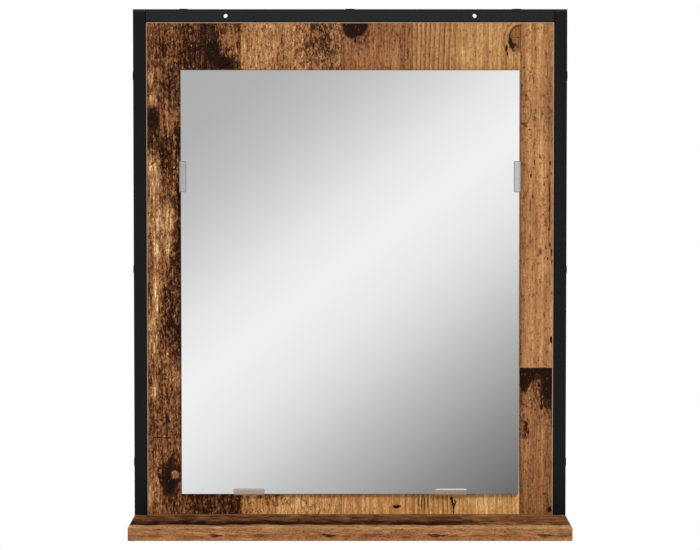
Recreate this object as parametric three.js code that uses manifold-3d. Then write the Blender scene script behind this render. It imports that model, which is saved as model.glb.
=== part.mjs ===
// A wall mirror with a shelf. A frame of black square tube holds a board with an
// old-wood face. The mirror stands off the board on four bent steel clips, and a
// shelf board under the frame's feet closes it. Nothing on it moves.
//
// Millimetres. +Z is up, the front faces -Y and the wall is the plane y = 0. The
// origin is the middle of the top rail's back, where the wall carries the mirror.
// Left and right are as seen from the front, so left is -X.

import * as THREE from 'three';
import { mergeVertices } from 'three/addons/utils/BufferGeometryUtils.js';
import Module from 'manifold-3d';

const wasm = await Module();
wasm.setup();

// ---------------------------------------------------------------- sizes

// Frame of square steel tube
const frameWidth = 500;
const frameHeight = 585; // from the shelf's top to the top of the frame
const tubeSize = 15;
const tubeWall = 1.2;
const tubeCorner = 1.5; // outside radius of the tube's corners

// Plastic caps in the tops of the uprights
const capHead = 3;
const capBevel = 0.4;
const capStemLength = 12;
const capStemWall = 1.2;
const capRibHeight = 1.2; // how far a rib stands out from the stem
const capRibThickness = 0.9;
const capRibPitch = 3.4;
const capRibCount = 3;

// Threaded steel plugs in the feet of the uprights
const plugLength = 14;
const plugCorner = 0.8;

// Board inside the frame, and the strips glued round both boards
const panelThickness = 15;
const bandThickness = 1;
const bandRound = 0.8; // radius worked on a strip's outer edges

// Shelf under the frame's feet, as wide as the frame
const shelfDepth = 125;
const shelfThickness = 15;

// Holes for the wall screws, through the top rail
const wallHoleRadius = 2.5;
const wallHoleSpacing = 287;

// Screws through the tubes into the edges of the board
const frameScrewLength = 40; // under the head
const frameScrewShank = 2; // radius
const frameScrewNeck = 3.2; // radius of the swelling under the head
const frameScrewHead = 5.4; // radius
const frameScrewHeadHeight = 0.6;
const frameScrewRecess = 2.4; // half the span of the cross in the head
const sideScrewInset = 61.5; // from the board's top and bottom
const topScrewInset = 43; // from the board's sides

// Countersunk screws from below, through the shelf into the board
const shelfScrewLength = 45;
const shelfScrewShank = 2;
const shelfScrewHead = 4;
const shelfScrewSpacing = 160;

// Countersunk bolts from below, through the shelf into the foot plugs
const boltLength = 25;
const boltShank = 2.5;
const boltHead = 4.7;
const boltSocket = 1.5; // half the width of the hexagon across its flats
const boltSocketDepth = 2.4;

// Mirror
const mirrorWidth = 390;
const mirrorHeight = 490;
const mirrorRise = 25; // from the shelf's top to the glass
const glassThickness = 4;
const glassArris = 0.5; // ground off the edges at 45 degrees
const silveringThickness = 0.2;
const silveringInset = 0.3; // inside the arris

// Clips bent from steel sheet, round the edge of the glass
const clipLength = 36;
const clipSheet = 1.2;
const clipBend = 0.6; // inside radius
const clipLip = 6.5; // how far it reaches over the glass
const clipLeg = 14; // how far it reaches behind the glass
const clipCorner = 1.5;
const clipSideRoom = 0.8; // beside the glass, at the left and right clips
const clipFrontRoom = 0.2; // between the glass and the lip
const sideClipDrop = 122.5; // from the top of the glass to the clip's middle
const bottomClipInset = 78; // from the side of the glass to the clip's middle

// Countersunk screws through the clips' legs into the board
const clipScrewLength = 12;
const clipScrewShank = 1.5;
const clipScrewHead = 2.9;
const clipScrewInset = 6; // from the end of the leg

// Cross recesses in the screw heads, as parts of half the cross's span
const crossWing = 0.42; // width of a wing
const crossDepth = 1.2;
const crossFloor = 0.33; // radius at the bottom

// Clearances
const seat = 0.1; // between faces that lie on each other
const fit = 0.3; // round whatever passes through or sits in a hole
const past = 1; // how far a cutting tool runs past a face

const roundFacets = 20; // round a fastener
const boreFacets = 16; // round a hole

// ---------------------------------------------------------------- places

// Heights inside the assembly are measured from the shelf's top.
const shelfTop = tubeSize / 2 - frameHeight;
const tubeMiddle = -tubeSize / 2; // y of the tubes' axes
const uprightX = frameWidth / 2 - tubeSize / 2;
const uprightTop = frameHeight - capHead - seat;
const tubeInside = tubeSize - 2 * tubeWall;

const panelWidth = frameWidth - 2 * (tubeSize + seat);
const panelBottom = seat;
const panelTop = frameHeight - tubeSize - seat;
const panelHeight = panelTop - panelBottom;
const panelMiddle = (panelTop + panelBottom) / 2;

// Layers in front of the board: clip leg, silvering, glass
const clipBack = -panelThickness - seat;
const silveringBack = clipBack - clipSheet - seat;
const glassBack = silveringBack - silveringThickness - seat;
const glassFront = glassBack - glassThickness;
const clipHeight = clipBack - glassFront + clipFrontRoom + clipSheet;
const glassMiddle = mirrorRise + mirrorHeight / 2;

// ---------------------------------------------------------------- materials

const metal = (color, roughness) => new THREE.MeshStandardMaterial({ color, roughness, metalness: 1 });
const coat = (color, roughness) => new THREE.MeshStandardMaterial({ color, roughness, metalness: 0 });

const blackPowderCoat = coat(0x1f1f1f, 0.45);
const blackPlastic = coat(0x262626, 0.6);
const oldWood = coat(0x7a5432, 0.7);
const shelfWood = coat(0x8a5f3a, 0.65);
const stripWood = coat(0x9c7d5a, 0.6);
const mirrorGlass = metal(0xe4e8e8, 0.03);
const greyBackPaint = coat(0x6f7478, 0.7);
const satinSteel = metal(0xb4b8bc, 0.3);
const blackScrew = metal(0x1a1a1a, 0.45);
const zincSteel = metal(0xaeb2b0, 0.35);

// ---------------------------------------------------------------- solids

const V = (x, y, z) => new THREE.Vector3(x, y, z);
const right = V(1, 0, 0);
const left = V(-1, 0, 0);
const front = V(0, -1, 0);
const back = V(0, 1, 0);
const up = V(0, 0, 1);
const down = V(0, 0, -1);
const sides = [['left', -1], ['right', 1]];

// A closed geometry as a solid that can be cut and joined
function solid(geometry) {
  const bare = geometry.clone();
  bare.deleteAttribute('normal');
  bare.deleteAttribute('uv');
  const welded = mergeVertices(bare, 1e-4);
  const index = welded.index.array;
  const triVerts = [];
  for (let i = 0; i < index.length; i += 3) {
    const [a, b, c] = [index[i], index[i + 1], index[i + 2]];
    if (a !== b && b !== c && c !== a) triVerts.push(a, b, c);
  }
  return new wasm.Manifold(new wasm.Mesh({
    numProp: 3,
    vertProperties: new Float32Array(welded.attributes.position.array),
    triVerts: new Uint32Array(triVerts),
  }));
}

function toGeometry(shape) {
  const mesh = shape.getMesh();
  const geometry = new THREE.BufferGeometry();
  geometry.setAttribute('position', new THREE.BufferAttribute(mesh.vertProperties, 3));
  geometry.setIndex(new THREE.BufferAttribute(mesh.triVerts, 1));
  geometry.computeVertexNormals();
  return geometry;
}

const join = (first, ...others) => others.reduce((whole, other) => whole.add(other), first);
const cut = (first, ...tools) => tools.reduce((rest, tool) => rest.subtract(tool), first);

// A rectangle about the origin with four round corners
function roundedRectangle(width, height, radius) {
  const x = width / 2 - radius;
  const y = height / 2 - radius;
  const shape = new THREE.Shape();
  shape.absarc(x, y, radius, 0, Math.PI / 2);
  shape.absarc(-x, y, radius, Math.PI / 2, Math.PI);
  shape.absarc(-x, -y, radius, Math.PI, 1.5 * Math.PI);
  shape.absarc(x, -y, radius, 1.5 * Math.PI, 2 * Math.PI);
  return shape;
}

const extrude = (shape, depth, curveSegments = 3) => new THREE.ExtrudeGeometry(
  shape, { depth, curveSegments, bevelEnabled: false });

// A box between two opposite corners
function block(low, high) {
  const size = high.clone().sub(low);
  const middle = low.clone().add(high).multiplyScalar(0.5);
  return new THREE.BoxGeometry(size.x, size.y, size.z).translate(middle.x, middle.y, middle.z);
}

// A round rod or cone from one point to another
function rod(start, end, radiusStart, radiusEnd = radiusStart, facets = boreFacets) {
  const axis = end.clone().sub(start);
  const middle = start.clone().add(end).multiplyScalar(0.5);
  const geometry = new THREE.CylinderGeometry(radiusEnd, radiusStart, axis.length(), facets);
  geometry.applyQuaternion(new THREE.Quaternion().setFromUnitVectors(V(0, 1, 0), axis.normalize()));
  return geometry.translate(middle.x, middle.y, middle.z);
}

// A turned piece from its profile of [radius, height], the axis upright
function turned(profile, facets = roundFacets) {
  const points = profile.map(([radius, height]) => new THREE.Vector2(radius, height));
  return new THREE.LatheGeometry(points, facets).rotateX(Math.PI / 2);
}

// The turn that lays local x and y along two given directions
function basis(x, y) {
  return new THREE.Matrix4().makeBasis(x, y, x.clone().cross(y));
}

// ---------------------------------------------------------------- assembly

const mirrorWithShelf = new THREE.Group();
mirrorWithShelf.name = 'mirror_with_shelf';
const assembly = new THREE.Group();
assembly.position.set(0, 0, shelfTop);
mirrorWithShelf.add(assembly);

function piece(name, shape, material) {
  const geometry = shape.isBufferGeometry ? shape : toGeometry(shape);
  const mesh = new THREE.Mesh(geometry, material);
  mesh.name = name;
  assembly.add(mesh);
  return mesh;
}

// A fastener is drawn with its axis on z and its head up; its place is the point
// where its head seats, and it is turned so that the head faces out.
function fasten(name, shape, material, place, out) {
  const mesh = piece(name, shape, material);
  mesh.position.copy(place);
  mesh.quaternion.setFromUnitVectors(up, out);
}

// ---------------------------------------------------------------- fastener places

const frameScrews = [];
for (const [name, side] of sides) {
  const rows = [['top', 1], ['middle', 0], ['bottom', -1]];
  for (const [row, step] of rows) {
    const height = panelMiddle + step * (panelHeight / 2 - sideScrewInset);
    frameScrews.push({
      name: `frame_screw_${name}_${row}`,
      place: V(side * frameWidth / 2, tubeMiddle, height),
      out: side < 0 ? left : right,
    });
  }
}
for (const [name, step] of [['left', -1], ['middle', 0], ['right', 1]]) {
  frameScrews.push({
    name: `frame_screw_top_${name}`,
    place: V(step * (panelWidth / 2 - topScrewInset), tubeMiddle, frameHeight),
    out: up,
  });
}

const shelfScrews = [['left', -1], ['middle', 0], ['right', 1]].map(([name, step]) => ({
  name: `shelf_screw_${name}`,
  place: V(step * shelfScrewSpacing, tubeMiddle, -shelfThickness + fit),
  out: down,
}));

const footBolts = sides.map(([name, side]) => ({
  name: `foot_bolt_${name}`,
  place: V(side * uprightX, tubeMiddle, -shelfThickness + fit),
  out: down,
}));

// Every clip: the outside of its bend at the board, and the way in over the glass
const sideClipX = mirrorWidth / 2 + clipSideRoom + clipSheet;
const sideClipHeight = mirrorRise + mirrorHeight - sideClipDrop;
const bottomClipX = mirrorWidth / 2 - bottomClipInset;
const bottomClipHeight = mirrorRise - seat - clipSheet;
const clips = sides.flatMap(([name, side]) => [
  {
    name,
    place: V(side * sideClipX, clipBack, sideClipHeight),
    inward: side < 0 ? right : left,
    room: clipSideRoom,
  },
  {
    name: `bottom_${name}`,
    place: V(side * bottomClipX, clipBack, bottomClipHeight),
    inward: up,
    room: seat,
  },
]);
for (const clip of clips) {
  clip.legReach = clipSheet + clip.room + clipLeg;
  clip.screw = {
    place: clip.place.clone().addScaledVector(clip.inward, clip.legReach - clipScrewInset)
      .addScaledVector(front, clipSheet - seat),
    out: front,
  };
}

// A bore along a fastener's axis, between two depths below where its head seats
function bore({ place, out }, radius, start, end, radiusEnd = radius) {
  const at = (depth) => place.clone().addScaledVector(out, -depth);
  return solid(rod(at(start), at(end), radius, radiusEnd));
}

// A bore with a countersink for a head that tapers at 45 degrees to its shank
function countersunkBore(fastener, shank, head, length) {
  const rim = head + fit;
  const hole = shank + fit;
  return join(
    bore(fastener, hole, -past, length + fit),
    bore(fastener, rim, 0, head - shank, hole),
    bore(fastener, rim, -past, 0),
  );
}

const frameBores = frameScrews.map((screw) => join(
  bore(screw, frameScrewNeck + fit, -past, tubeWall + fit),
  bore(screw, frameScrewShank + fit, 0, frameScrewLength + fit),
));
const shelfBores = shelfScrews.map((screw) => (
  countersunkBore(screw, shelfScrewShank, shelfScrewHead, shelfScrewLength)));
const boltBores = footBolts.map((bolt) => (
  countersunkBore(bolt, boltShank, boltHead, boltLength)));
const clipBores = clips.map(({ screw }) => (
  bore(screw, clipScrewShank + 2 * fit, 0, clipScrewLength + fit)));

// ---------------------------------------------------------------- frame

// Square tube along z from its foot, open at both ends
function squareTube(length) {
  const section = roundedRectangle(tubeSize, tubeSize, tubeCorner);
  section.holes.push(roundedRectangle(tubeInside, tubeInside, tubeCorner - tubeWall));
  return extrude(section, length);
}

for (const [name, side] of sides) {
  const tube = squareTube(uprightTop - seat).translate(side * uprightX, tubeMiddle, seat);
  piece(`upright_${name}`, cut(solid(tube), ...frameBores), blackPowderCoat);
}

// The top rail lies between the uprights. Two wall screws pass through it.
const railLength = frameWidth - 2 * (tubeSize + seat);
const railHeight = frameHeight - tubeSize / 2;
const rail = squareTube(railLength).translate(0, 0, -railLength / 2).rotateY(Math.PI / 2)
  .translate(0, tubeMiddle, railHeight);
const wallHoles = sides.map(([, side]) => {
  const x = side * wallHoleSpacing / 2;
  return solid(rod(V(x, past, railHeight), V(x, -tubeSize - past, railHeight), wallHoleRadius));
});
piece('top_rail', cut(solid(rail), ...frameBores, ...wallHoles), blackPowderCoat);

// A cap closes each upright: a flat head over the tube's end, and a hollow stem
// whose ribs grip inside it.
function tubeCap() {
  const ribSize = tubeInside - 2 * fit;
  const stemSize = ribSize - 2 * capRibHeight;
  const boreSize = stemSize - 2 * capStemWall;
  const head = new THREE.ExtrudeGeometry(roundedRectangle(tubeSize, tubeSize, tubeCorner), {
    depth: capHead - 2 * capBevel,
    curveSegments: 3,
    bevelThickness: capBevel,
    bevelSize: capBevel,
    bevelOffset: -capBevel,
    bevelSegments: 2,
  }).translate(0, 0, capBevel);
  const stem = extrude(roundedRectangle(stemSize, stemSize, capStemWall), capStemLength + past, 1)
    .translate(0, 0, -capStemLength);
  const hollow = extrude(roundedRectangle(boreSize, boreSize, capStemWall / 2), capStemLength, 1)
    .translate(0, 0, -capStemLength - past);
  const ribs = [];
  for (let k = 0; k < capRibCount; k += 1) {
    const rib = extrude(roundedRectangle(ribSize, ribSize, capStemWall), capRibThickness, 1);
    ribs.push(solid(rib.translate(0, 0, capRibPitch * (k - capRibCount))));
  }
  return toGeometry(cut(join(solid(head), solid(stem), ...ribs), solid(hollow)));
}

// A threaded plug fills the foot of each upright and takes the bolt from the shelf.
function footPlug(side) {
  const size = tubeInside - 2 * fit;
  const plug = extrude(roundedRectangle(size, size, plugCorner), plugLength);
  return cut(solid(plug.translate(side * uprightX, tubeMiddle, seat)), ...boltBores);
}

const cap = tubeCap();
for (const [name, side] of sides) {
  const mesh = piece(`tube_cap_${name}`, cap, blackPlastic);
  mesh.position.set(side * uprightX, tubeMiddle, frameHeight - capHead);
  piece(`foot_plug_${name}`, footPlug(side), zincSteel);
}

// ---------------------------------------------------------------- boards

// A rectangle of a strip's thickness whose two outer corners are round; the inner
// side lies on y = 0 and the outer one on y = bandThickness.
function stripSection(width) {
  const x = width / 2;
  const shape = new THREE.Shape();
  shape.moveTo(-x, 0);
  shape.lineTo(x, 0);
  shape.absarc(x - bandRound, bandThickness - bandRound, bandRound, 0, Math.PI / 2);
  shape.absarc(-x + bandRound, bandThickness - bandRound, bandRound, Math.PI / 2, Math.PI);
  return shape;
}

// A glued edge strip, round on its long edges and at its ends: one section along
// its length, met by one across it.
function edgeStrip(length, width, middle, along, outward) {
  const lengthwise = extrude(stripSection(width), length).translate(0, 0, -length / 2)
    .applyMatrix4(basis(V(0, 0, -1), V(0, 1, 0)));
  const crosswise = extrude(stripSection(length), width).translate(0, 0, -width / 2);
  const turn = basis(along, outward).setPosition(middle);
  return solid(lengthwise.applyMatrix4(turn)).intersect(solid(crosswise.applyMatrix4(turn)));
}

// The board inside the frame: a core and four strips, bored for every screw
const coreHalfWidth = panelWidth / 2 - bandThickness - seat;
const coreBottom = panelBottom + bandThickness + seat;
const coreTop = panelTop - bandThickness - seat;
const panelMiddleY = -panelThickness / 2;

const core = block(V(-coreHalfWidth, -panelThickness, coreBottom), V(coreHalfWidth, 0, coreTop));
piece('panel_board', cut(solid(core), ...frameBores, ...shelfBores, ...clipBores), oldWood);

for (const [name, side] of sides) {
  const middle = V(side * (panelWidth / 2 - bandThickness), panelMiddleY, panelMiddle);
  const strip = edgeStrip(panelHeight, panelThickness, middle, up, side < 0 ? left : right);
  piece(`panel_band_${name}`, cut(strip, ...frameBores), stripWood);
}
for (const [name, height, outward] of [['top', panelTop, up], ['bottom', panelBottom, down]]) {
  const middle = V(0, panelMiddleY, height).addScaledVector(outward, -bandThickness);
  const strip = edgeStrip(2 * coreHalfWidth, panelThickness, middle, right, outward);
  piece(`panel_band_${name}`, cut(strip, ...frameBores, ...shelfBores), stripWood);
}

// The shelf board, its top at height 0: a core and four strips, bored from below
const shelfCoreHalfWidth = frameWidth / 2 - bandThickness - seat;
const shelfCoreBack = -bandThickness - seat;
const shelfCoreFront = -shelfDepth + bandThickness + seat;
const shelfCore = block(
  V(-shelfCoreHalfWidth, shelfCoreFront, -shelfThickness), V(shelfCoreHalfWidth, shelfCoreBack, 0));
piece('shelf_board', cut(solid(shelfCore), ...shelfBores, ...boltBores), shelfWood);

const shelfMiddleZ = -shelfThickness / 2;
for (const [name, y, outward] of [['front', -shelfDepth, front], ['back', 0, back]]) {
  const middle = V(0, y, shelfMiddleZ).addScaledVector(outward, -bandThickness);
  piece(`shelf_band_${name}`, edgeStrip(frameWidth, shelfThickness, middle, right, outward), stripWood);
}
for (const [name, side] of sides) {
  const middle = V(side * (frameWidth / 2 - bandThickness), (shelfCoreFront + shelfCoreBack) / 2,
    shelfMiddleZ);
  const length = shelfCoreBack - shelfCoreFront;
  const strip = edgeStrip(length, shelfThickness, middle, back, side < 0 ? left : right);
  piece(`shelf_band_${name}`, strip, stripWood);
}

// ---------------------------------------------------------------- mirror

// The glass has its edges ground to a narrow arris all round, and its silvering,
// under grey paint, stops just inside that.
const glassOutline = new THREE.Shape([
  new THREE.Vector2(-mirrorWidth / 2, -mirrorHeight / 2),
  new THREE.Vector2(mirrorWidth / 2, -mirrorHeight / 2),
  new THREE.Vector2(mirrorWidth / 2, mirrorHeight / 2),
  new THREE.Vector2(-mirrorWidth / 2, mirrorHeight / 2),
]);
const glass = new THREE.ExtrudeGeometry(glassOutline, {
  depth: glassThickness - 2 * glassArris,
  bevelThickness: glassArris,
  bevelSize: glassArris,
  bevelOffset: -glassArris,
  bevelSegments: 1,
}).translate(0, 0, glassArris).rotateX(Math.PI / 2).translate(0, glassBack, glassMiddle);
piece('mirror_glass', solid(glass), mirrorGlass);

const silveredWidth = mirrorWidth - 2 * (glassArris + silveringInset);
const silveredHeight = mirrorHeight - 2 * (glassArris + silveringInset);
const silvering = new THREE.BoxGeometry(silveredWidth, silveringThickness, silveredHeight)
  .translate(0, silveringBack - silveringThickness / 2, glassMiddle);
piece('mirror_silvering', solid(silvering), greyBackPaint);

// ---------------------------------------------------------------- clips

// The bent sheet seen along the glass edge: x runs in over the glass from the
// outside of the bend, y forward from the board. Leg, bend, web, bend, lip.
function clipSection(legReach, lipReach) {
  const outer = clipBend + clipSheet;
  const top = clipHeight - outer;
  const shape = new THREE.Shape();
  shape.moveTo(legReach, 0);
  shape.lineTo(legReach, clipSheet);
  shape.absarc(outer, outer, clipBend, 1.5 * Math.PI, Math.PI, true);
  shape.absarc(outer, top, clipBend, Math.PI, Math.PI / 2, true);
  shape.lineTo(lipReach, clipHeight - clipSheet);
  shape.lineTo(lipReach, clipHeight);
  shape.absarc(outer, top, outer, Math.PI / 2, Math.PI);
  shape.absarc(outer, outer, outer, Math.PI, 1.5 * Math.PI);
  return shape;
}

// What is cut off to round one corner of a sheet, at x = 0 and z = 0, over a range of y
function cornerTool(x, z, side, low, high) {
  const shape = new THREE.Shape();
  shape.moveTo(past, -past);
  shape.lineTo(past, clipCorner);
  shape.lineTo(0, clipCorner);
  shape.absarc(-clipCorner, clipCorner, clipCorner, 0, -Math.PI / 2, true);
  shape.lineTo(-clipCorner, -past);
  const tool = extrude(shape, high - low).rotateX(side > 0 ? -Math.PI / 2 : Math.PI / 2);
  return solid(tool.translate(x, side > 0 ? low : high, z));
}

function mirrorClip({ room, legReach }) {
  const lipReach = clipSheet + room + clipLip;
  const sheet = extrude(clipSection(legReach, lipReach), clipLength, 4)
    .translate(0, 0, -clipLength / 2);
  const lipBack = clipHeight - clipSheet - clipFrontRoom;
  const corners = [-1, 1].flatMap((side) => [
    cornerTool(legReach, side * clipLength / 2, side, -past, clipSheet + past),
    cornerTool(lipReach, side * clipLength / 2, side, lipBack, clipHeight + past),
  ]);
  const screw = { place: V(legReach - clipScrewInset, clipSheet - seat, 0), out: V(0, 1, 0) };
  const hole = countersunkBore(screw, clipScrewShank, clipScrewHead, clipScrewLength);
  return toGeometry(cut(solid(sheet), ...corners, hole));
}

for (const clip of clips) {
  const mesh = piece(`mirror_clip_${clip.name}`, mirrorClip(clip), satinSteel);
  mesh.position.copy(clip.place);
  mesh.quaternion.setFromRotationMatrix(basis(clip.inward, front));
}

// ---------------------------------------------------------------- fasteners

// A cross recess, sunk from height 0, whose four wings taper towards the bottom
function crossRecess(span, top) {
  const wing = crossWing * span / 2;
  const depth = crossDepth * span;
  const cross = join(
    solid(block(V(-span, -wing, -depth), V(span, wing, past))),
    solid(block(V(-wing, -span, -depth), V(wing, span, past))),
  );
  const taper = solid(rod(V(0, 0, -depth), V(0, 0, past), crossFloor * span, span));
  return cross.intersect(taper).translate([0, 0, top]);
}

// The frame screw: a low wide head, a swelling under it that fills the hole in the
// tube's wall, and a pointed shank
function frameScrew() {
  const edge = frameScrewHeadHeight / 2;
  const neckEnd = tubeWall;
  const body = turned([
    [0, -frameScrewLength],
    [frameScrewShank, -frameScrewLength + 2 * frameScrewShank],
    [frameScrewShank, -neckEnd - (frameScrewNeck - frameScrewShank)],
    [frameScrewNeck, -neckEnd],
    [frameScrewNeck, seat],
    [frameScrewHead, seat],
    [frameScrewHead, edge],
    [frameScrewHead - edge, frameScrewHeadHeight],
    [0, frameScrewHeadHeight],
  ]);
  return toGeometry(cut(solid(body), crossRecess(frameScrewRecess, frameScrewHeadHeight)));
}

// A countersunk fastener, its flat top at height 0: the head tapers at 45 degrees
// to the shank, which ends in a point or in a small chamfer.
function countersunk(shank, head, length, tip, recess) {
  const body = turned([
    [0, -length],
    ...(tip > shank ? [] : [[shank - tip, -length]]),
    [shank, -length + tip],
    [shank, shank - head],
    [head, 0],
    [0, 0],
  ]);
  return toGeometry(cut(solid(body), recess));
}

const screwShape = frameScrew();
for (const { name, place, out } of frameScrews) fasten(name, screwShape, blackScrew, place, out);

const shelfScrewShape = countersunk(
  shelfScrewShank, shelfScrewHead, shelfScrewLength, 2 * shelfScrewShank,
  crossRecess(shelfScrewHead / 2, 0));
for (const { name, place, out } of shelfScrews) fasten(name, shelfScrewShape, zincSteel, place, out);

const socketRadius = boltSocket / Math.cos(Math.PI / 6); // to the hexagon's corners
const socket = rod(V(0, 0, -boltSocketDepth), V(0, 0, past), socketRadius, socketRadius, 6);
const boltShape = countersunk(boltShank, boltHead, boltLength, boltShank / 4, solid(socket));
for (const { name, place, out } of footBolts) fasten(name, boltShape, zincSteel, place, out);

const clipScrewShape = countersunk(
  clipScrewShank, clipScrewHead, clipScrewLength, 2 * clipScrewShank,
  crossRecess(clipScrewHead / 2, 0));
for (const { name, screw } of clips) {
  fasten(`clip_screw_${name}`, clipScrewShape, zincSteel, screw.place, screw.out);
}

export default mirrorWithShelf;
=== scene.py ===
# A wall mirror with a shelf: a black square-tube frame round an old-wood board, a
# mirror on four steel clips and a shelf board under the frame's feet. Metres; the
# front faces -Y and the wall is y = 0.
import math

import bpy
import numpy
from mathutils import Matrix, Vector

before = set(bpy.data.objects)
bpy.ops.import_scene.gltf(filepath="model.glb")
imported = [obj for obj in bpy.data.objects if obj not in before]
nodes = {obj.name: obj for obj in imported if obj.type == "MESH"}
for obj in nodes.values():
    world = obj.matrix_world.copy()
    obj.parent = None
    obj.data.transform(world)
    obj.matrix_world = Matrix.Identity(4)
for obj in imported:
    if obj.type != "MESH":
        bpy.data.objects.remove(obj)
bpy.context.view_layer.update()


# ---------------------------------------------------------------- camera
# The picture is taken from in front, 3.5 m from the wall and a little below the top of
# the frame, with a long lens that looks down by about three degrees.
lens = bpy.data.cameras.new("camera")
lens.sensor_width = 36.0
lens.lens = 154.62
camera = bpy.data.objects.new("camera", lens)
camera.location = (-0.0001, -3.4837, -0.1224)
camera.rotation_euler = (math.radians(90 - 2.909), 0, 0)
bpy.context.scene.collection.objects.link(camera)
bpy.context.scene.camera = camera
bpy.context.scene.view_settings.view_transform = "Standard"


# ---------------------------------------------------------------- light and floor
# A white tent. What the mirror sees of it in front runs from grey through white to
# dark grey, from its upper left to its lower right; the floor is a pale round sheet.
class Wire:
    """A shader socket. Arithmetic with wires and numbers adds Math nodes, and add() any other."""

    def __init__(self, tree, socket=None):
        self.tree = tree
        self.socket = socket

    def add(self, kind, values=None, out=0, stops=None, **settings):
        """A node: its settings, a ramp's stops, then values or wires by socket name or number."""
        node = self.tree.nodes.new("ShaderNode" + kind)
        if stops:
            ramp = node.color_ramp
            ramp.elements[0].position = stops[0][0]
            ramp.elements[0].color = stops[0][1]
            ramp.elements[1].position = stops[-1][0]
            ramp.elements[1].color = stops[-1][1]
            for place, colour in stops[1:-1]:
                ramp.elements.new(place).color = colour
        for name, value in settings.items():
            setattr(node, name, value)
        for key, value in (values or {}).items():
            if isinstance(value, Wire):
                self.tree.links.new(value.socket, node.inputs[key])
            else:
                node.inputs[key].default_value = value
        return Wire(self.tree, node.outputs[out] if node.outputs else None)

    def math(self, operation, first, second=0.0):
        return self.add("Math", {0: first, 1: second}, operation=operation)

    def __add__(self, other):
        return self.math("ADD", self, other)

    def __sub__(self, other):
        return self.math("SUBTRACT", self, other)

    def __rsub__(self, other):
        return self.math("SUBTRACT", other, self)

    def __mul__(self, other):
        return self.math("MULTIPLY", self, other)

    def __truediv__(self, other):
        return self.math("DIVIDE", self, other)

    def __pow__(self, other):
        return self.math("POWER", self, other)

    def __abs__(self):
        return self.math("ABSOLUTE", self)

    __radd__ = __add__
    __rmul__ = __mul__


def paint(red, green, blue):
    """A colour from its 0 to 255 screen values, as the linear values that shaders take."""
    return (*[(v / 255 / 12.92) if v < 10.3 else ((v / 255 + 0.055) / 1.055) ** 2.4
              for v in (red, green, blue)], 1.0)


def grey(value):
    """A grey from its 0 to 255 screen value."""
    return paint(value, value, value)


def rise(wire, low, high):
    """0 below low, 1 above high, smooth between; it falls instead where low is the larger."""
    return wire.add("MapRange", {0: wire, 1: low, 2: high}, interpolation_type="SMOOTHSTEP")


def largest(first, *others):
    """The largest of these, point by point."""
    for other in others:
        first = first.math("MAXIMUM", first, other)
    return first


def axes(wire):
    """The three parts of a vector."""
    split = wire.add("SeparateXYZ", {0: wire}).socket.node
    return [Wire(wire.tree, socket) for socket in split.outputs]


def blend(factor, first, second):
    """From the first colour to the second as the factor goes from 0 to 1."""
    return factor.add("Mix", {0: factor, 6: first, 7: second}, out=2, data_type="RGBA")


tent = bpy.data.worlds.new("tent")
bpy.context.scene.world = tent
tent.use_nodes = True
tent.node_tree.nodes.clear()
air = Wire(tent.node_tree)

# The direction in front as two slopes, sideways and upwards, and how far along the
# run of tones they lie: 0 at the mirror's upper left corner, 1 at its lower right.
MIRROR_LEFT, MIRROR_WIDE = -0.0563, 0.1126
MIRROR_TOP, MIRROR_HIGH = 0.0173, 0.1415
across, depth, upward = axes(air.add("TexCoord", out="Generated"))
ahead = largest(depth * -1, 0.05)
run = (0.385 * (across / ahead - MIRROR_LEFT) / MIRROR_WIDE
       + 0.615 * (MIRROR_TOP - upward / ahead) / MIRROR_HIGH)
TONES = [(-2, 150), (-0.6, 165), (0.1, 181), (0.2, 196), (0.3, 218), (0.38, 237), (0.47, 247),
         (0.56, 238), (0.64, 222), (0.75, 189), (0.875, 148), (1, 106), (1.5, 135), (3, 165)]
tones = air.add("ValToRGB", {0: (run + 2) / 5},
                stops=[((along + 2) / 5, grey(tone)) for along, tone in TONES])

# The camera finds white round the object, reflections find the run, and all else a grey
rays = air.add("LightPath").socket.node
camera_ray, glossy_ray, through_ray = [
    Wire(air.tree, rays.outputs[name])
    for name in ("Is Camera Ray", "Is Glossy Ray", "Is Transmission Ray")]
around = blend(glossy_ray, (0.46, 0.46, 0.46, 1), tones)
around = blend(largest(camera_ray, through_ray), around, (1, 1, 1, 1))
air.add("OutputWorld", {0: air.add("Background", {0: around, 1: 1.0})})


def soft_lamp(name, place, side, power):
    """A square lamp of that side, at place, turned to face the middle of the board."""
    light = bpy.data.lights.new(name, "AREA")
    light.shape = "SQUARE"
    light.size = side
    light.energy = power
    lamp = bpy.data.objects.new(name, light)
    lamp.location = place
    lamp.rotation_euler = (Vector((0, 0, -0.3)) - lamp.location).to_track_quat("-Z", "Y").to_euler()
    lamp.visible_glossy = False
    bpy.context.scene.collection.objects.link(lamp)


soft_lamp("lamp_front_right", (3.4, -5.2, 4.2), 2.6, 305)
soft_lamp("lamp_front_left", (-1.7, -3.4, -0.7), 1.6, 34)
soft_lamp("lamp_above", (0.3, -1.2, 2.6), 1.6, 8)
soft_lamp("lamp_back", (-1.2, 3.0, 1.0), 1.5, 60)

# A flat disc 0.3 m below the shelf: points at equal turns round a circle
RADIUS, LEVEL, POINTS = 2, -0.9, 96
turn = numpy.linspace(0, 2 * math.pi, POINTS, endpoint=False)
rim = numpy.column_stack([RADIUS * numpy.cos(turn), RADIUS * numpy.sin(turn),
                          numpy.full(POINTS, LEVEL)])
floor_mesh = bpy.data.meshes.new("floor")
floor_mesh.from_pydata(rim.tolist(), [], [list(range(POINTS))])
floor = bpy.data.objects.new("floor", floor_mesh)
bpy.context.scene.collection.objects.link(floor)


def finish_named(name):
    """A new material and a wire in its empty node tree."""
    material = bpy.data.materials.new(name)
    material.use_nodes = True
    material.node_tree.nodes.clear()
    return material, Wire(material.node_tree)


def position(start):
    """The position on the piece, in metres."""
    return start.add("TexCoord", out="Object")


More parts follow.
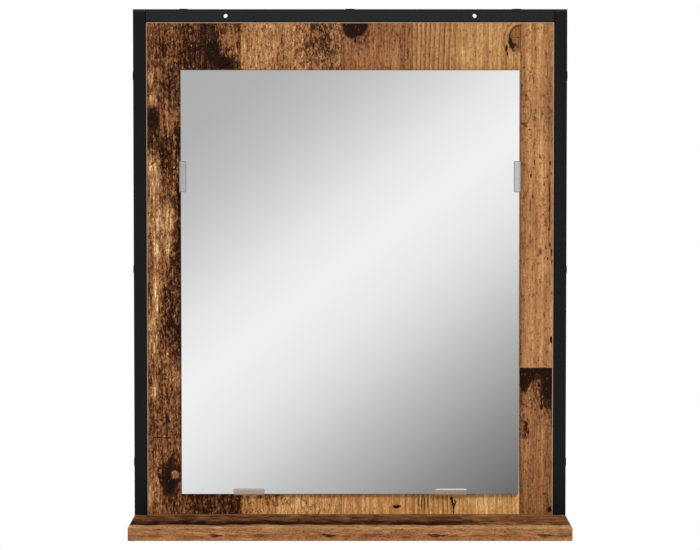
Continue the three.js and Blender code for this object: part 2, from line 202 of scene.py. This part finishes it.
# The floor's paint is pale, and fades to nothing before the rim
sheet, start = finish_named("pale_floor")
away = start.add("VectorMath", {0: position(start), 1: (1, 1, 0)}, operation="MULTIPLY")
away = start.add("VectorMath", {0: away}, out="Value", operation="LENGTH")
faded = start.add("MixShader", {
    0: rise(away, 0.9, 1.95),
    1: start.add("BsdfDiffuse", {"Color": (0.93, 0.93, 0.93, 1)}),
    2: start.add("BsdfTransparent")})
start.add("OutputMaterial", {0: faded})
floor_mesh.materials.append(sheet)


# ---------------------------------------------------------------- frame
# Two uprights and a rail of 15 mm square steel tube, black powder coated. The coat
# has a fine orange peel, a trace of dust in it and a slightly dry sheen.
def noise(place, scale, detail=3.0, roughness=0.5, distortion=0.0, out=0):
    """Cloudy noise about 0.5, with cells of one over scale."""
    return place.add("TexNoise", {
        "Vector": place, "Scale": scale, "Detail": detail, "Roughness": roughness,
        "Distortion": distortion}, out=out)


def principled(start, colour, roughness, height=None, lift=0.0001, **sockets):
    """The usual shader with a bump of that height in metres, wired to the output."""
    values = {"Base Color": colour, "Roughness": roughness}
    if height is not None:
        values["Normal"] = start.add("Bump", {"Height": height, "Distance": lift})
    for name, value in sockets.items():
        values[name.replace("_", " ")] = value
    start.add("OutputMaterial", {0: start.add("BsdfPrincipled", values)})


def wear(finish, *names):
    """Gives CAD pieces a finish in place of their plain one."""
    for name in names:
        for slot in nodes[name].material_slots:
            slot.material = finish


def rounded(start):
    """1 where a face is turned away from all three axes, as on a rounded edge."""
    normal = axes(start.add("NewGeometry", out="True Normal"))
    return rise(largest(*[abs(part) for part in normal]), 0.995, 0.97)


def powder_coat(name, shade):
    """The black coat, darkened on the tube's rounded corners and towards the shelf as painted
    shade.
    """
    material, start = finish_named(name)
    place = position(start)
    peel = noise(place, 900, 2)
    drift = noise(place, 14, 4, 0.6)
    speck = rise(noise(place, 2600, 1), 0.68, 0.74)
    darker, lighter = [(*[v * part for v in shade[:3]], 1) for part in (0.86, 1.14)]
    colour = blend(drift, darker, lighter)
    colour = blend(speck * 0.5, colour, grey(74))
    # Painted shade: the coat is darkened towards the shelf and on the rounded corners, where shade
    # falls
    foot = rise(axes(place)[2], -0.50, -0.575)
    colour = blend(largest(rounded(start) * 0.6, foot * 0.35), colour, grey(9))
    principled(start, colour, 0.4 + 0.14 * drift, peel, 0.00012, Specular_IOR_Level=0.1)
    return material


# The rail's copy of the coat is painted lighter than the uprights', as painted light for the
# brighter reflection the rail shows
wear(powder_coat("black_powder_coat", grey(24)), "upright_left", "upright_right")
wear(powder_coat("black_powder_coat_rail_painted_lighter", grey(36)), "top_rail")


# ---------------------------------------------------------------- tube caps
# Moulded black plastic caps, pressed into the tops of the uprights with ribbed stems.
# They are matt, with a fine grain.
plastic, start = finish_named("black_plastic")
place = position(start)
grain = noise(place, 1800, 3, 0.6)
principled(start, blend(noise(place, 60, 2), grey(34), grey(44)), 0.5 + 0.15 * grain, grain,
           0.00008, Specular_IOR_Level=0.2)
wear(plastic, "tube_cap_left", "tube_cap_right")


# ---------------------------------------------------------------- board
# A 15 mm board printed with old planks, upright: worn dark wood on the left, two
# speckled tan ones, a golden ringed one, and an orange one with a scorched one below it.
def millimetres(start):
    """The position on the piece, in millimetres."""
    return start.add("VectorMath", {0: position(start), "Scale": 1000}, operation="SCALE")


def vector(x, y, z):
    return x.add("CombineXYZ", {0: x, 1: y, 2: z})


def torn(place, cells, scale, reach, detail=2.0):
    """The position moved about by noise, up to half the reach, so that marks get ragged edges."""
    shift = place.add("VectorMath", {
        0: noise(cells, scale, detail, 0.6, out=1), 1: (0.5, 0.5, 0.5)}, operation="SUBTRACT")
    return place.add("VectorMath", {0: shift, 1: reach, 2: place}, operation="MULTIPLY_ADD")


def spots(place, marks, soft=0.2, thick=None):
    """1 inside any of the marks, (x, z, half width, half height), soft at their edges.
    With a thickness it is 1 only near their outlines."""
    masks = []
    for x, z, wide, high in marks:
        away = place.add("VectorMath", {
            0: place, 1: (1 / wide, 0, 1 / high), 2: (-x / wide, 0, -z / high)},
            operation="MULTIPLY_ADD")
        away = place.add("VectorMath", {0: away}, out="Value", operation="LENGTH")
        masks.append(rise(abs(away - 1), thick, thick / 3) if thick
                     else rise(away, 1 + soft, 1 - soft))
    return largest(*masks)


def towards(tone, target, amount):
    """The tone moved to the target as the amount goes from 0 to 1."""
    return tone + amount * (target - tone)


def tinted(colour, factor, tint):
    """The colour multiplied by a tint, as far as the factor says."""
    return colour.add("Mix", {0: factor, 6: colour, 7: tint}, out=2, data_type="RGBA",
                      blend_type="MULTIPLY")


def wood(tone):
    """The print's colours, from nearly black at tone 0 to cream at tone 1."""
    return tone.add("ValToRGB", {0: tone}, stops=[
        (0.00, paint(22, 12, 8)), (0.16, paint(52, 30, 19)), (0.36, paint(104, 66, 42)),
        (0.56, paint(144, 99, 63)), (0.74, paint(177, 129, 83)), (0.90, paint(208, 162, 109)),
        (1.00, paint(236, 202, 156))])


panel, start = finish_named("old_wood_panel")
place = millimetres(start)
x, y, z = axes(place)

# Plank by plank from the left: its tone, how much it is pitted and ringed, how much
# lighter it is painted at its foot as painted light, and its tint; and the edges where one ends at
# the next
PLANKS = [(0.51, 0.90, 0.10, 0.030, (1.00, 0.960, 0.94, 1)),
          (0.69, 0.48, 0.06, 0.215, (1.00, 1.000, 1.00, 1)),
          (0.57, 0.20, 0.20, 0.320, (1.00, 0.950, 0.95, 1)),
          (0.75, 0.06, 1.00, 0.145, (1.02, 1.045, 0.99, 1)),
          (0.69, 0.10, 0.30, 0.000, (0.98, 0.950, 0.93, 1))]
EDGES = (-126.1, -10.5, 71.5, 196.4)
*levels, tint = PLANKS[0]
for edge, (*next_levels, next_tint) in zip(EDGES, PLANKS[1:]):
    last = rise(x, edge - 0.2, edge + 0.2)
    levels = [towards(level, other, last) for level, other in zip(levels, next_levels)]
    tint = blend(last, tint, next_tint)
bias, pitting, ringed, foot = levels

# The last plank ends at this height, and a darker one goes on below it
LOWER_JOINT = -406.6
second = last * rise(z, LOWER_JOINT + 0.2, LOWER_JOINT - 0.3)
bias = bias - second * 0.12
pitting = pitting + second * 0.06

# Long fibres, threads, blots and dots, each plank from its own place in the noise
own = y + bias * 400
fibre = noise(vector(x, own, z / 9), 0.55, 3, 0.6, 0.15)
thread = noise(vector(x, own, z / 26), 0.95, 2, 0.65)
blots = noise(vector(x, own, z / 1.9), 0.40, 3, 0.66)
dots = noise(vector(x, own + 70, z / 2.1), 0.62, 2, 0.55)
flecks = noise(vector(x, own + 140, z / 2.2), 0.55, 3, 0.6)
rust = noise(vector(x, own + 210, z / 1.6), 0.16, 4, 0.65)
bands = noise(vector(x, own + 280, z / 30), 0.16, 2)
clouds = noise(vector(x, own, z / 2.4), 0.030, 3, 0.6)

# Growth rings: a saw wave across the plank, bent by slow noise, strong on its left side
bend = noise(vector(x / 3, own, z / 14), 0.03, 1)
ring = start.math("FRACT", x * 0.18 + bend * 7) ** 2.5
ringed = ringed * (0.22 + 0.8 * rise(x, 128, 112))

# The board's position, torn coarsely, finely, hardly at all, and for the curls of knots
cells = vector(x, own, z / 2)
ragged = torn(place, cells, 0.09, (14, 0, 26))
frayed = torn(place, cells, 0.3, (3, 0, 7))
crisp = torn(place, cells, 0.3, (0.6, 0, 2))
curly = torn(place, cells, 0.12, (2, 0, 4))

# Where it is pitted, and where it is burnt: on all planks, and on the lower last one
pitted = largest(
    spots(ragged, [
        (-38, -30, 24, 36), (-154, -566, 44, 22), (-205, -160, 14, 28), (-198, -272, 8, 40),
        (-204, -345, 13, 46), (-197, -203, 6, 34), (-220, -410, 2, 10), (12, -24, 12, 12),
        (-88, -558, 20, 10), (-174, -34, 22, 50), (-34, -26, 14, 16), (-205, -80, 8, 19),
        (-224, -150, 11, 17)], soft=0.7),
    second * spots(ragged, [
        (216, -420, 26, 26), (203, -478, 6, 16), (230, -446, 7, 24)], soft=0.7))
burnt = largest(
    spots(ragged, [
        (-164, -30, 13, 34), (-150, -56, 26, 13), (-215, -41, 4, 10), (-198, -135, 7, 12),
        (-134, -564, 7, 6), (-208, -530, 15, 18)], soft=0.55),
    second * spots(ragged, [
        (216, -404, 26, 20), (228, -436, 10, 20), (203, -478, 2.6, 8)], soft=0.5))
speckled = spots(ragged, [(-38, -20, 15, 16), (-24, -48, 6, 16)], soft=0.6)

# Where it is scorched black, with sharp edges and with soft ones
scorched = largest(
    spots(frayed, [
        (6, -11, 14.5, 13), (1, -10, 10, 11), (1.5, -17, 9, 9), (6, -28, 1.1, 4),
        (202, -408, 8, 26), (206, -402, 12, 22), (229, -406, 8, 38), (216, -404, 20, 10),
        (-146, -54, 9, 7), (-158, -40, 8, 12)], soft=0.13),
    spots(frayed, [(-228, -118, 8.5, 13.5), (-209, -541, 8, 14)], soft=0.4))
scorched = scorched * largest(second, rise(x, 60, 50))

# Dark marks: small knots and holes, a forked crack, and faint dots, lines and scratches
marks = spots(frayed, [
    (185.2, -31, 2.4, 3.4), (180.4, -37, 1.3, 3.6), (181.4, -43, 0.8, 2.2),
    (189, -33.6, 2.8, 1.2), (192.6, -35.6, 1.9, 1.0), (193.6, -24.8, 1.8, 0.8),
    (184, -28, 1.8, 3), (187, -34.4, 2.8, 2.8), (201.6, -477, 0.8, 4), (204.6, -475, 0.9, 5),
    (203, -484, 1.1, 3), (206.4, -481, 0.7, 3), (233.4, -374, 2.2, 4),
    (231.5, -571, 2.4, 3.4), (54, -567.4, 4.4, 1.9)])
crack = spots(crisp, [
    (117.6, -558.2, 1.5, 2.0), (118.4, -561.2, 1.2, 2.2), (119.4, -564.4, 1.3, 2.4),
    (121.4, -560.8, 0.8, 1.5), (122.2, -562.8, 0.8, 1.8), (121.2, -565.4, 0.9, 1.6),
    (120.0, -568.6, 1.1, 2.6), (120.0, -573, 0.7, 4)], soft=0.3)
faint = spots(crisp, [
    (230.4, -218, 0.75, 27), (230.2, -207, 1.0, 9), (231, -169.4, 1.1, 2.4),
    (232, -181.4, 1.0, 1.3), (227.4, -185.2, 0.8, 1.5), (223.7, -193.7, 0.7, 2.4),
    (208.4, -184.2, 0.7, 3), (212.6, -168.6, 0.6, 3.4), (208, -216, 0.7, 5),
    (225.8, -236, 0.6, 5), (229.3, -246, 0.9, 1.6), (230.8, -263.7, 0.9, 3),
    (232.4, -273, 0.9, 5), (228.2, -280, 0.8, 1.6), (232.9, -283, 0.8, 3),
    (199.4, -124.2, 1.6, 0.9), (202.8, -127.2, 1.8, 0.9), (206.6, -130.8, 1.6, 0.9),
    (-223, -487, 6, 0.9), (-211, -487.5, 5, 0.8), (-204, -484, 3.4, 0.8),
    (79.5, -562, 0.5, 5), (83, -563, 0.7, 9), (86.6, -564, 0.6, 8), (90, -562, 0.6, 7)],
    soft=0.3)
marks = largest(marks, crack, faint * 0.75)
strings = spots(frayed, [
    (57.6, -40, 0.7, 22), (62.4, -34, 0.6, 26), (66.8, -34, 0.9, 28), (211, -70, 1.2, 9),
    (94, -566, 1.0, 12), (213, -118, 1.2, 14)], soft=0.5)

# Where the dark plank is rubbed pale, its tan patch by the first joint, and its round knot
pale = spots(frayed, [
    (-230, -70, 3.5, 9), (-227, -97, 4, 9), (-226, -186, 7, 34), (-217, -236, 14, 20),
    (-224, -266, 4, 20), (-211, -262, 4, 16), (-225, -332, 3.2, 28), (-228, -368, 6, 28),
    (-222, -402, 2.5, 8), (-226, -430, 3, 14), (-232, -556, 3, 14), (-130.4, -41, 2, 3)],
    soft=0.6)
patch = spots(ragged, [(-135.5, -22, 8, 20)], soft=0.2)
knot = spots(frayed, [(-202.8, -530.8, 4.8, 4.9)], soft=0.16)

# The knot that the last joint cuts, with two rings round it, and weak rings beyond it
swirl = largest(spots(curly, [(195.5, -27, 12.6, 16)], thick=0.13),
                0.6 * spots(curly, [(196, -29, 19, 24)], thick=0.07))
swirl = swirl * (1 - last) * rise(z, -46, -34)
beyond = spots(curly, [(200, -108, 8.5, 17), (199, -190, 7, 20)], thick=0.14)
swirl = largest(swirl, 0.5 * last * beyond)
heart = (1 - last) * spots(curly, [(194, -26, 11, 14), (188.4, -39, 2.6, 3)], soft=0.25)
olive = spots(curly, [(219.4, -271.8, 2.0, 3.9)], soft=0.3)

# The plain wood: fibres, clouds, bands and rings, and light flecks
# Painted light: the planks are printed lighter towards their foot, making up for light the shelf
# and the lamps' fall-off take away there; the same mask thins the wear and yellows the colour there
light = foot * rise(z, -470, -560)
grain = 0.30 + pitting * 0.5
tone = (bias + light - 0.012 + (fibre - 0.5) * grain + (thread - 0.5) * grain * 1.3
        + (clouds - 0.5) * (0.25 + pitting * 0.35) - ring * ringed * 0.34
        + (flecks - 0.5) * (0.26 + pitting * 0.26) + (bands - 0.5) * 0.42 - pitted * 0.09)
tone = towards(tone, 0.56 + (fibre - 0.5) * 0.8, patch * 0.8)
tone = tone + pale * (0.22 + (fibre - 0.48) * 1.1)
tone = tone + rise(flecks, 0.56, 0.70) * (0.04 + pitting * 0.24 + pitted * 0.08)

# The last plank is lightest down its middle, and the knot beside it is brown
tone = tone - last * (rise(abs(x - 214), 4, 17) * 0.09 - 0.035)
tone = towards(tone, fibre - 0.09, heart * 0.8) - swirl * 0.32
tone = towards(tone, 0.45, olive * 0.8)

# Wear: blots and pits, the more the plank is pitted, and dark strings of dots
amount = pitting * (1.1 - clouds * 0.8) + pitted * 0.6 - pale * 0.6 - light * 1.2
worn = rise(blots + amount * 0.12, 0.56, 0.65)
tone = tone - worn * (0.07 + tone * (0.22 + 0.2 * amount))
pits = rise(dots + amount * 0.16 + speckled * 0.06, 0.67, 0.75)
tone = tone - pits * (0.05 + (0.19 + 0.3 * pitting) * tone)
tone = tone - strings * rise(dots, 0.47, 0.55) * 0.30

# Burnt and scorched places, with fibres and specks of lighter wood left in them
specks = speckled * rise(blots + flecks, 1.02, 1.12)
tone = towards(tone, 0.14, specks * 0.8)
burn = rise(burnt + (dots - 0.5) * 1.7 + (blots - 0.5) * 2.2, 0.48, 0.66)
tone = towards(tone, 0.07 + rise(thread + (dots - 0.5) * 0.6, 0.52, 0.66) * 0.20, burn * 0.94)
tone = towards(tone, 0.04 + rise(dots + flecks, 1.14, 1.28) * 0.30, scorched * 0.95)
tone = towards(tone, 0.58 + (blots - 0.5) * 1.6 + (flecks - 0.5) * 0.8, knot)
tone = towards(tone, 0.06 + (dots - 0.5) * 0.6, marks * 0.95)

# Dark joints between the planks
joint = last * rise(abs(z - LOWER_JOINT), 0.8, 0.3)
for edge, strength in zip(EDGES, (0.5, 0.9, 0.3, 0.5)):
    joint = largest(joint, rise(abs(x - edge), 0.7, 0.2) * strength)
tone = tone - joint * 0.35

# Redder and greener clouds of colour, a yellower foot, partly the print's colour and partly painted
# light, and cooler pale wood
colour = tinted(wood(tone), 1.0, tint)
colour = tinted(colour, rise(rust, 0.50, 0.62) * (0.3 + pitting * 0.7), (1.0, 0.82, 0.75, 1))
colour = tinted(colour, rise(rust, 0.48, 0.38) * (0.2 + pitting * 0.7), (0.93, 1.0, 0.88, 1))
colour = tinted(colour, light * 5, (1.03, 0.935, 0.77, 1))
colour = tinted(colour, pale, (0.97, 1.06, 1.16, 1))
principled(start, colour, 0.68 - 0.16 * tone, fibre * 0.6 + thread * 0.4 - worn * 0.3 - joint,
           0.0002, Specular_IOR_Level=0.06)
wear(panel, "panel_board")


# ---------------------------------------------------------------- shelf
# A 15 mm board under the frame's feet, printed with planks that run along it: dark
# and streaked behind a wavy line near its front, tan with small dark knots before it.
KNOTS = (-151, -24, 97, 220)
STROKES = ((-3, -585.4, 6, 0.8), (4, -586.4, 6, 0.9), (-1, -587.5, 5, 0.7))


def shelf_print(start):
    """The colour, height and roughness of the print, from where the point is on the board."""
    place = millimetres(start)
    x, y, z = axes(place)

    # The grain runs along x, and changes across the front with z and more slowly with y
    over = z + y * 0.15
    flat = z * 0
    fibre = noise(vector(x / 8, over, flat), 0.45, 4, 0.66, 0.5)
    thread = noise(vector(x / 14, over, flat), 1.2, 2, 0.6)
    mottle = noise(vector(x / 3, over, flat), 0.09, 5, 0.62)
    dots = noise(vector(x / 1.7, over, flat), 0.60, 2, 0.55)
    wave = noise(vector(x, flat, flat), 0.016, 3, 0.55)
    rust = noise(vector(x / 3, over, flat + 60), 0.2, 4, 0.65)

    # Tan wood, lighter on the top; the brighter strip along the top's front edge is a painted
    # highlight
    top = rise(z, -578.8, -577.8)
    tone = (0.58 + top * (0.16 + 0.12 * rise(y, -108, -120)) + (fibre - 0.5) * 0.55
            + (thread - 0.5) * 0.65 + (mottle - 0.5) * 0.5 - rise(dots, 0.58, 0.64) * 0.26)
    tone = tone - (1 - top) * rise(abs(z + 586.6), 2.6, 1.0) * 0.06

    # Dark wood behind the wavy line, darkest next to it and weaker at the right end
    line = y + 100 + (wave - 0.5) * 40
    dark = towards(0.46, 0.38 - 0.27 * rise(line, 50, 16), rise(x, 175, 110))
    # Painted light: the dark wood is lightened along the back next to the board, against the shade
    # that falls there
    dark = dark + (fibre - 0.5) * 1.3 + (thread - 0.5) * 0.6 + rise(y, -28, -18) * 0.16
    tone = towards(tone, dark, rise(line, -1.5, 2.5) * top)

    # On the front, knots of three strokes each, and dark rubbed places between them
    frayed = torn(place, vector(x / 3, over, flat), 0.3, (14, 0, 2.6), 4)
    knots = spots(frayed, [(middle + along, level, wide, high) for middle in KNOTS
                           for along, level, wide, high in STROKES], soft=0.4)
    rubbed = spots(frayed, [
        (-103, -586.2, 8, 1.4), (22, -586, 8, 1.4), (145, -586, 8, 1.4), (-220, -587, 8, 1.4),
        (-131, -586.6, 5, 1.2), (-4, -586.6, 5, 1.2), (117, -586.6, 5, 1.2),
        (240, -586.6, 5, 1.2)], soft=0.5)
    front = rise(y, -121, -123)
    tone = towards(tone, 0.17 + (fibre - 0.5) * 1.4, knots * front * 0.9)
    tone = towards(tone, 0.30, rubbed * front * 0.6)
    colour = tinted(wood(tone), rise(rust, 0.48, 0.60) * 0.8, (1.0, 0.82, 0.75, 1))
    colour = tinted(colour, rise(rust, 0.48, 0.38) * 0.6, (0.91, 1.0, 0.85, 1))
    return colour, fibre * 0.6 + thread * 0.4, 0.74 - 0.12 * tone


shelf, start = finish_named("old_wood_shelf")
colour, height, gloss = shelf_print(start)
principled(start, colour, gloss, height, 0.0002, Specular_IOR_Level=0.02)
wear(shelf, "shelf_board")


# ---------------------------------------------------------------- edge strips
# One-millimetre strips glued round both boards, their long edges rounded. The shelf's
# carry its print, worn most along the upper edge; the upright board's are a plainer tan.
strip, start = finish_named("old_wood_strip")
colour, height, gloss = shelf_print(start)
upper = rise(axes(position(start))[2], -0.590, -0.584)
colour = blend(rounded(start) * (0.3 + 0.45 * upper), colour, paint(122, 104, 86))
principled(start, colour, gloss, height, 0.0002, Specular_IOR_Level=0.02)
wear(strip, "shelf_band_front", "shelf_band_back", "shelf_band_left", "shelf_band_right")

strip, start = finish_named("old_wood_strip_upright")
place = millimetres(start)
fine = noise(place, 0.5, 4, 0.6)
blotch = noise(place, 0.03, 3, 0.6)
bare = (0.35 + rounded(start) * 0.5) * (0.25 + 0.75 * rise(axes(place)[2], -576, -570))
colour = blend(bare, wood(0.58 + (fine - 0.5) * 0.7 + (blotch - 0.5) * 0.5), paint(176, 156, 134))
principled(start, colour, 0.55, fine, 0.0001, Specular_IOR_Level=0.1)
wear(strip, "panel_band_left", "panel_band_right", "panel_band_top", "panel_band_bottom")


# ---------------------------------------------------------------- mirror
# A 4 mm glass, silvered behind under a coat of grey paint. Its ground edge, broken by
# a half-millimetre arris, shows the green of the glass.
glass, start = finish_named("mirror")
facing = abs(axes(start.add("NewGeometry", out="True Normal"))[1])
side = rise(facing, 0.6, 0.4)
haze = noise(position(start), 5, 3, 0.6)
colour = blend(side, (0.94, 0.945, 0.945, 1), paint(96, 128, 118))
principled(start, colour, 0.012 + 0.01 * haze + side * 0.2, Metallic=1 - side * 0.75)
wear(glass, "mirror_glass")

paint_coat, start = finish_named("mirror_back_paint")
place = position(start)
brushed = noise(place, 260, 4, 0.6)
principled(start, blend(noise(place, 9, 4, 0.6), grey(104), grey(124)), 0.7, brushed, 0.0001)
wear(paint_coat, "mirror_silvering")


# ---------------------------------------------------------------- clips
# Bent steel sheet, satin nickel plated, with the fine scratches of its rolling. Light is
# painted on: a shade along the side clips' lip edges and a highlight along the lower ones'.
satin, start = finish_named("satin_steel")
place = millimetres(start)
x, y, z = axes(place)
scratch = noise(vector(x, y, z / 12), 2.6, 3, 0.6)
cloud = noise(place, 0.09, 3)
low = rise(z, -500, -520)
right = rise(x, -60, 60)

# How far the point is inside the outline of a side clip's lip: its free end and its ends
LIP_INNER, LIP_MIDDLE, LIP_HALF = 188.5, -185, 18
inside = start.math("MINIMUM", abs(x) - LIP_INNER, LIP_HALF - abs(z - LIP_MIDDLE))
painted_edge_shade = (1 - low) * rise(inside, 1.3, 0.7)

# A painted highlight along the upper edge of a lower clip's lip, and a painted reflection of the
# shelf's warm wood on the clip's underside
LIP_TOP, GLASS_FOOT = -546.6, -552.5
painted_glint = low * rise(abs(z - LIP_TOP), 0.9, 0.5) * rise(y, -20, -21) * (0.3 + 0.7 * right)
under = low * rise(z, GLASS_FOOT + 0.4, GLASS_FOOT - 0.3)

colour = blend(scratch * 0.5 + cloud * 0.5, grey(232), grey(248))
# Painted reflection and light: the lower clips are tinted warm as if reflecting the wood, the side
# clips grey, and on both the left clip is painted darker than the right
colour = tinted(colour, low, blend(right, (0.76, 0.61, 0.49, 1), (0.98, 0.74, 0.60, 1)))
colour = tinted(colour, 1 - low, blend(right, (0.85, 0.85, 0.85, 1), (0.88, 0.90, 0.92, 1)))
# Painted shade along the side clips' lip edges
colour = blend(painted_edge_shade * 0.5, colour, grey(120))
# Painted highlight on the lower lips' upper edge
colour = blend(painted_glint, colour, grey(240))
# Painted reflection of the shelf's wood on the lower clips' undersides
colour = blend(under * 0.8, colour, paint(196, 160, 130))
principled(start, colour, 0.14 + 0.04 * scratch, scratch, 0.00001,
           Metallic=1 - largest(painted_glint, under) * 0.8)
wear(satin, *[f"mirror_clip_{side}" for side in ("left", "right", "bottom_left", "bottom_right")])


# ---------------------------------------------------------------- screws
# Low-head screws in the tubes are black oxide steel. The countersunk screws, bolts
# and foot plugs are bright zinc plated, with the plating's cloudy bloom.
oxide, start = finish_named("black_screw")
scuff = noise(position(start), 700, 4, 0.65)
principled(start, blend(rise(scuff, 0.5, 0.75), grey(20), grey(52)), 0.42 + 0.2 * scuff, scuff,
           0.00005, Metallic=0.6, Specular_IOR_Level=0.2)
wear(oxide, *[name for name in nodes if name.startswith("frame_screw")])

zinc, start = finish_named("zinc_steel")
bloom = noise(position(start), 240, 4, 0.6)
principled(start, blend(bloom, grey(150), grey(196)), 0.28 + 0.2 * bloom, bloom, 0.00004,
           Metallic=1.0)
wear(zinc, *[name for name in nodes
             if name.startswith(("shelf_screw", "foot_", "clip_screw"))])
